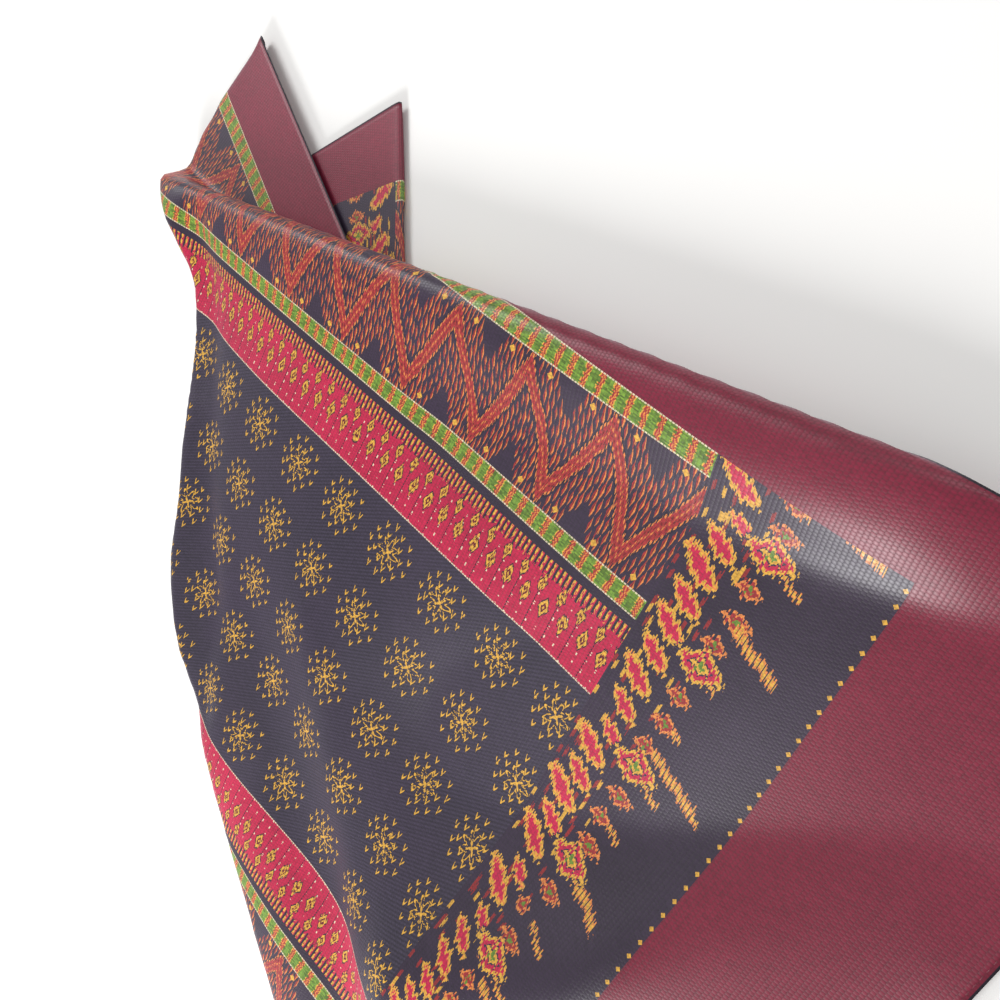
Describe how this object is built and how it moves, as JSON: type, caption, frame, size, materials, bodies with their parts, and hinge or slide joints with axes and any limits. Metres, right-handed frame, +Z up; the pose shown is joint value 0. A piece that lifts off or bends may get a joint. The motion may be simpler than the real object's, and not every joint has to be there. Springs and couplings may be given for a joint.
{
  "type": "ikat silk shawl",
  "caption": "Rectangular ikat silk shawl laid flat in the folds of a wrapped skirt cloth, with zigzag, striped and flowered bands and plain end panels.",
  "frame": {"origin": "middle of the bounding box, on the surface the shawl lies on", "axes": "+X along the cloth's length towards the free end, +Y across the cloth towards the border that is turned under, +Z up from the surface"},
  "size_m": [1.1005, 0.9862, 0.0768],
  "materials": {
    "silk": "jacquard-woven silk with a soft satin lustre"
  },
  "bodies": {
    "root": {"shawl_cloth": "silk"}
  },
  "joints": []
}
